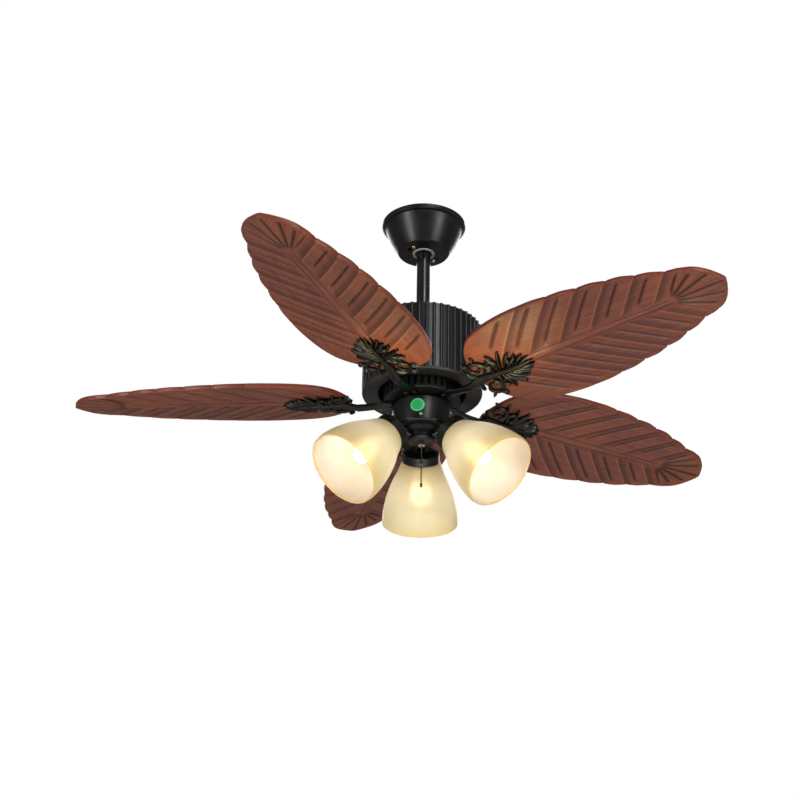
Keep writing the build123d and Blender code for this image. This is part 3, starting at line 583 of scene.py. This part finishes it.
def carving(u, v, half_width):
    """Depth of the carving, the painted shade of the slits, the midrib grooves and the shaded side of each
    fold, and the painted highlight on the crests.
    """
    a = np.abs(v)
    phase, spacing, start, reach, in_fan = vein_phase(u, a)
    to_slit = np.abs(phase - np.round(phase)) * spacing
    inner = 0.012 + 0.34 * np.clip(IRON_TIP - start, 0, 0.2)
    ends = smooth(inner, inner + 0.013, a) * smooth(0.005, 0.017, half_width - a)
    fan_ends = smooth(0.010, 0.024, reach) * smooth(0.006, 0.018, half_width - a)
    ends = np.where(in_fan, fan_ends, ends) * smooth(0.105, 0.150, start)
    slit = np.exp(-((to_slit / 0.0025) ** 2)) * ends

    share = phase - np.floor(phase)
    rise = np.clip(share / 0.5, 0, 1) ** 1.1
    fall = np.clip((1 - share) / 0.5, 0, 1) ** 2.4
    steep = np.where(share < 0.5, rise, fall)
    strength = smooth(0.004, 0.018, a) * smooth(0.110, 0.170, start)
    fan_strength = strength * smooth(0.0, 0.05, spacing) * smooth(0.010, 0.05, reach)
    strength = np.where(in_fan, fan_strength, strength)
    folds = (1 - steep) * strength
    # Painted shade: the shaded side of each fold, darkened in colour.
    shade = smooth(0.5, 0.53, share) * (1 - smooth(0.62, 0.95, share)) * strength
    to_crest = np.abs(share - 0.5) * spacing
    # Painted highlight: a pale line along each crest and along the midrib ridge.
    painted_crest_highlight = np.exp(-((to_crest / 0.0017) ** 2)) * strength * smooth(0.001, 0.006, half_width - a)

    slim = 1.25 - 0.6 * smooth(IRON_TIP, FAN_START, u)
    rib_span = smooth(0.215, 0.25, u) * (1 - smooth(FAN_START - 0.010, FAN_START + 0.012, u))
    rib_groove = np.exp(-(((a - 0.0068 * slim) / 0.0017) ** 2)) * rib_span
    rib_crest = np.exp(-((a / (0.0036 * slim)) ** 2)) * rib_span
    depth = 0.0030 * folds + 0.0026 * slit + 0.0013 * rib_groove - 0.0007 * rib_crest
    # Painted shade: slits, midrib grooves and fold sides are darkened in colour.
    painted_groove_shade = np.clip(slit + 0.55 * rib_groove + 0.55 * shade, 0, 1)
    return depth, painted_groove_shade, np.clip(painted_crest_highlight + 0.35 * rib_crest, 0, 1)


def leaf_mesh():
    """Vertices, faces and attributes of one leaf in its blade's frame, carved on both sides."""
    u, half = leaf_outline()
    half = np.maximum(half, 0.0005)
    phase, _, start, _, in_fan = vein_phase(u, half)
    to_notch = np.abs(phase - np.floor(phase) - 0.5)
    wave = 0.5 - 0.5 * np.cos(2 * math.pi * to_notch)
    sharp = np.exp(-((to_notch / 0.045) ** 2))
    fading = smooth(0.12, 0.34, start) * np.where(in_fan, 0.15, 1.0) * smooth(0.006, 0.04, half)
    half = half - (0.0026 * (1 - wave) + 0.0022 * sharp) * fading
    rows = int(LEAF_WIDTH / LEAF_STEP) // 2
    quarter = math.pi / 2 * EDGE_CROWDING
    share = np.sin(np.linspace(-quarter, quarter, 2 * rows + 1)) / math.sin(quarter)
    grid_u = np.repeat(u[:, None], len(share), 1)
    grid_v = half[:, None] * share[None, :]
    grid_half = np.repeat(half[:, None], len(share), 1)
    edge = np.concatenate([np.stack([u, half], 1), np.stack([u, -half], 1)])
    flat = np.stack([grid_u.ravel(), grid_v.ravel()], 1)
    distance = np.empty(len(flat))
    for first in range(0, len(flat), 4000):
        some = flat[first:first + 4000]
        gaps = np.hypot(some[:, None, 0] - edge[None, :, 0], some[:, None, 1] - edge[None, :, 1])
        distance[first:first + 4000] = gaps.min(1)
    distance = distance.reshape(grid_u.shape)
    distance[:, 0] = distance[:, -1] = 0
    distance[0, :] = distance[-1, :] = 0
    inward = np.clip(distance / EDGE_ROUND, 0, 1)
    rounding = EDGE_ROUND * (1 - np.sqrt(1 - (1 - inward) ** 2))
    depth, painted_groove_shade, painted_crest_highlight = carving(grid_u, grid_v, grid_half)
    depth = depth * smooth(0.0, 0.004, distance)
    rim = 1 - smooth(0.0, 0.0055, distance)
    under = rounding + depth
    over = BLADE_THICKNESS - rounding - 0.6 * depth

    columns, across = grid_u.shape
    count = columns * across
    index = np.arange(count).reshape(columns, across)
    low = np.stack([index[:-1, :-1], index[:-1, 1:], index[1:, 1:], index[1:, :-1]], -1).reshape(-1, 4)
    high = low[:, ::-1] + count
    ring = np.concatenate([index[0, :-1], index[:-1, -1], index[-1, :0:-1], index[:0:-1, 0]])
    after = np.roll(ring, -1)
    wall = np.stack([ring, ring + count, after + count, after], -1)
    vertices = np.concatenate(
        [
            np.stack([grid_u.ravel(), grid_v.ravel(), under.ravel()], 1),
            np.stack([grid_u.ravel(), grid_v.ravel(), over.ravel()], 1),
        ]
    )
    faces = np.concatenate([low, high, wall])
    attributes = {
        "leaf_u": np.tile(grid_u.ravel(), 2),
        "leaf_v": np.tile(grid_v.ravel(), 2),
        "leaf_side": np.repeat([0.0, 1.0], count),
        # Painted shade of the grooves and painted highlight of the crests, stored for the wood colour.
        "painted_groove_shade": np.tile(painted_groove_shade.ravel(), 2),
        "painted_crest_highlight": np.tile(painted_crest_highlight.ravel(), 2),
        "rim": np.tile(rim.ravel(), 2),
    }
    return vertices, faces, attributes


def placed(vertices, matrix):
    """Points moved by a matrix."""
    turn = np.array(matrix.to_3x3())
    return vertices @ turn.T + np.array(matrix.translation)


def give_attributes(piece, attributes):
    """Store each named value on the mesh's vertices."""
    for name, values in attributes.items():
        stored = piece.data.attributes.new(name, "FLOAT", "POINT")
        stored.data.foreach_set("value", np.asarray(values, np.float32))


leaf_vertices, leaf_faces, leaf_values = leaf_mesh()
for number in range(1, BLADE_COUNT + 1):
    name = "blade_" + str(number)
    points = placed(leaf_vertices, blade_frame(number))
    leaf = add_mesh("leaf_" + name, points, leaf_faces, wood, "rotor")
    values = dict(leaf_values)
    values["leaf_side"] = values["leaf_side"] + 3.7 * number
    give_attributes(leaf, values)
    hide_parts(name)


# ---------------------------------------------------------------- blade irons
def whole_section(*left):
    """A section from the points of its left side; the last point is on the middle line."""
    return left + tuple((-side, down) for side, down in reversed(left[:-1]))


RIDGED = whole_section((-1, 0), (-0.92, -0.30), (-0.6, -0.55), (-0.22, -0.66), (0, -1))
HOLLOW = whole_section((-1, 0), (-0.97, -0.5), (-0.72, -0.95), (-0.40, -0.80), (0, -0.58))
ARM = whole_section((-1, 0.9), (-1, -0.2), (-0.72, -0.68), (-0.16, -0.86), (0, -1.12))


class Casting:
    """Meshes gathered into one iron, with how far each vertex stands proud."""

    def __init__(self):
        self.vertices, self.faces, self.relief = [], [], []

    def sweep(self, stations, section):
        """Rings of a section joined end to end; a station is (centre, across, up, half width, height)."""
        first = len(self.vertices)
        size = len(section)
        top = max(-down for _, down in section)
        for centre, across, up, half, height in stations:
            for side, down in section:
                self.vertices.append(centre + across * (side * half) + up * (down * height))
                self.relief.append(max(0.0, -down) / top)
        for ring in range(len(stations) - 1):
            for step in range(size):
                a = first + ring * size + step
                b = first + ring * size + (step + 1) % size
                self.faces.append((a, b, b + size, a + size))
        last = first + (len(stations) - 1) * size
        self.faces.append(tuple(reversed(range(first, first + size))))
        self.faces.append(tuple(range(last, last + size)))

    def ribbon(self, base, path, half, height, section):
        """A raised ribbon that lies on a blade's underside along (u, v) points."""
        turned = base.to_3x3()
        up = turned @ Vector((0, 0, 1))
        stations = []
        for number, (u, v) in enumerate(path):
            before, after = path[max(number - 1, 0)], path[min(number + 1, len(path) - 1)]
            run = Vector((after[0] - before[0], after[1] - before[1], 0)).normalized()
            across = turned @ Vector((-run.y, run.x, 0))
            centre = base @ Vector((u, v, 0.0004))
            stations.append((centre, across, up, half[number], height[number]))
        self.sweep(stations, section)


LEAFLET_FULLNESS = 1.32  # how much fuller the leaflets are cast than their slim outline


def leaflet(start, angle, length, width, curl, steps=11):
    """Path, half widths and heights of one acanthus leaflet, which curls as it runs."""
    u, v = start
    path, half, height = [], [], []
    for step in range(steps):
        t = step / (steps - 1)
        turn = angle + curl * t * t
        path.append((u, v))
        u += length / (steps - 1) * math.cos(turn)
        v += length / (steps - 1) * math.sin(turn)
        body = math.sin(math.pi * min(0.08 + 0.92 * t, 0.965)) ** 0.5
        half.append(width * body * (0.55 + 0.45 * t))
        height.append(0.0035 + 0.0065 * math.sin(math.pi * (0.12 + 0.84 * t)) ** 0.8)
    return path, half, height


def scroll(centre, radius, start, sweep, taper, width, steps=26):
    """Path, half widths and heights of a scroll that winds inwards about a centre."""
    path, half, height = [], [], []
    for step in range(steps):
        t = step / (steps - 1)
        turn = start + sweep * t
        reach = radius * (1 - taper * t ** 1.4)
        path.append((centre[0] + reach * math.cos(turn), centre[1] + reach * math.sin(turn)))
        half.append(width * (1 - 0.45 * t) * (1.35 if t > 0.94 else 1))
        height.append(0.0088 - 0.0022 * t)
    return path, half, height


def mirrored(shape):
    """The same shape on the other side of the midrib."""
    path, half, height = shape
    return [(u, -v) for u, v in path], half, height


def iron_casting(number):
    """Root plate, arm and pierced acanthus leaf of one blade iron."""
    made = Casting()
    base = blade_frame(number)
    turn = FIRST_BLADE + 2 * math.pi / BLADE_COUNT * (number - 1)
    radial = Vector((math.cos(turn), math.sin(turn), 0))
    level = Vector((-math.sin(turn), math.cos(turn), 0))
    up = Vector((0, 0, 1))
    leaf_up = base.to_3x3() @ up
    leaf_across = base.to_3x3() @ Vector((0, 1, 0))
    stations = []
    for reach, half, thick, drop in (
        (0.0440, 0.0130, 0.0018, 0.0020),
        (0.0455, 0.0148, 0.0020, 0.0020),
        (0.0740, 0.0150, 0.0020, 0.0020),
        (0.0800, 0.0125, 0.0026, 0.0026),
        (0.0880, 0.0104, 0.0034, 0.0036),
        (0.1040, 0.0094, 0.0042, 0.0052),
        (0.1200, 0.0096, 0.0044, 0.0060),
    ):
        centre = radial * reach + up * (DRUM_BOTTOM - drop)
        stations.append((centre, level, up, half, thick))
    for reach, half, thick, drop in (
        (0.142, 0.0104, 0.0044, 0.0045),
        (0.158, 0.0082, 0.0046, 0.0046),
        (0.180, 0.0056, 0.0050, 0.0046),
        (0.205, 0.0042, 0.0050, 0.0044),
        (0.232, 0.0030, 0.0046, 0.0040),
        (0.252, 0.0018, 0.0034, 0.0030),
        (0.2615, 0.0006, 0.0014, 0.0014),
    ):
        stations.append((base @ Vector((reach, 0, -drop)), leaf_across, leaf_up, half, thick))
    made.sweep(stations, ARM)

    shapes = [
        (scroll((0.1530, 0.0290), 0.0175, math.radians(-62), math.radians(395), 0.62, 0.0036), HOLLOW),
        (scroll((0.1830, 0.0260), 0.0115, math.radians(-80), math.radians(330), 0.60, 0.0031), HOLLOW),
    ]
    for start, angle, length, slim, curl in (
        ((0.1400, 0.0080), 132, 0.024, 0.0040, -70),
        ((0.1430, 0.0400), 118, 0.017, 0.0036, 60),
        ((0.1600, 0.0450), 78, 0.014, 0.0036, 40),
        ((0.1800, 0.0060), 100, 0.030, 0.0034, 35),
        ((0.1880, 0.0050), 82, 0.044, 0.0040, 30),
        ((0.1930, 0.0050), 66, 0.047, 0.0042, -12),
        ((0.1985, 0.0045), 50, 0.043, 0.0042, -22),
        ((0.2030, 0.0040), 33, 0.036, 0.0038, -26),
        ((0.2140, 0.0035), 72, 0.023, 0.0034, 20),
        ((0.2180, 0.0035), 54, 0.029, 0.0036, -10),
        ((0.2220, 0.0030), 37, 0.031, 0.0036, -18),
        ((0.2270, 0.0020), 21, 0.031, 0.0032, -16),
    ):
        width = round(LEAFLET_FULLNESS * slim, 4)
        shapes.append((leaflet(start, math.radians(angle), length, width, math.radians(curl)), RIDGED))
    for shape, section in shapes:
        made.ribbon(base, *shape, section)
        made.ribbon(base, *mirrored(shape), section)
    return made


for number in range(1, BLADE_COUNT + 1):
    cast = iron_casting(number)
    piece = add_mesh("cast_iron_" + str(number), cast.vertices, cast.faces, iron, "rotor")
    give_attributes(piece, {"relief": cast.relief})
    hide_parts("blade_iron_" + str(number))


# ---------------------------------------------------------------- studio
def make_floor():
    """A plain pale floor, as far below the ceiling plane as a room's."""
    reach = 8.0
    corners = [(reach * x, reach * y, FLOOR_Z) for x, y in ((-1, -1), (1, -1), (1, 1), (-1, 1))]
    mesh = bpy.data.meshes.new("floor")
    mesh.from_pydata(corners, [], [(0, 1, 2, 3)])
    finish = Shader("pale_floor", (0.85, 0.85, 0.84), 0.8)
    mottle = finish.spread(finish.noise(1.5, 3.0), 0.3, 0.7)
    pale = finish.mix(mottle, (0.84, 0.84, 0.83), (0.88, 0.88, 0.87))
    finish.set(finish.base, "Base Color", pale)
    finish.set(finish.base, "Emission Color", pale)
    seen = finish.node("ShaderNodeLightPath").outputs["Is Camera Ray"]
    finish.set(finish.base, "Emission Strength", finish.spread(seen, 0.0, 1.0, 0.05, 0.62))
    mesh.materials.append(finish.material)
    floor = bpy.data.objects.new("floor", mesh)
    bpy.context.scene.collection.objects.link(floor)


def softbox(name, place, size, watts):
    """A large soft white area light aimed at the middle of the fan."""
    data = bpy.data.lights.new(name, "AREA")
    data.shape = "RECTANGLE"
    data.size, data.size_y = size
    data.energy = watts
    lamp = bpy.data.objects.new(name, data)
    bpy.context.scene.collection.objects.link(lamp)
    lamp.location = place
    lamp.rotation_mode = "QUATERNION"
    lamp.rotation_quaternion = (FAN_MIDDLE - Vector(place)).to_track_quat("-Z", "Y")
    lamp.visible_camera = False


def make_lights():
    """White surroundings, softboxes in front, below and above, and the warm spill of the lamps."""
    world = bpy.data.worlds.new("studio")
    world.use_nodes = True
    bpy.context.scene.world = world
    tree = world.node_tree
    back = tree.nodes["Background"]
    back.inputs["Color"].default_value = (1, 1, 1, 1)
    seen = tree.nodes.new("ShaderNodeLightPath")
    strength = tree.nodes.new("ShaderNodeMapRange")
    strength.inputs["To Min"].default_value = REFLECTED_WHITE
    strength.inputs["To Max"].default_value = 1.0
    tree.links.new(seen.outputs["Is Camera Ray"], strength.inputs["Value"])
    tree.links.new(strength.outputs["Result"], back.inputs["Strength"])

    softbox("left_front", (-2.4, -2.2, -0.7), (0.9, 2.6), 58)
    softbox("right_front", (2.4, -2.2, -0.7), (0.9, 2.6), 50)
    softbox("below", (0, -0.6, -2.5), (2.4, 2.4), 34)
    softbox("above_front", (1.1, -2.5, 1.15), (0.9, 0.9), 26)
    softbox("above_back", (0, 2.2, 0.9), (3.0, 1.2), 40)
    for number, side in ((2, SPILL_SIDE), (3, -SPILL_SIDE)):
        root = blade_frame(number) @ Vector((SPILL_REACH, side, 0))
        data = bpy.data.lights.new("lamp_spill_" + str(number), "SPOT")
        data.energy = 0.9
        data.color = (1.0, 0.80, 0.36)
        data.spot_size = math.radians(115)
        data.spot_blend = 1.0
        data.shadow_soft_size = 0.04
        spill = bpy.data.objects.new(data.name, data)
        bpy.context.scene.collection.objects.link(spill)
        spill.location = root - Vector((0, 0, SPILL_DROP))
        spill.rotation_euler = (math.pi, 0, 0)


make_floor()
make_lights()
bpy.context.scene.view_settings.view_transform = "Standard"
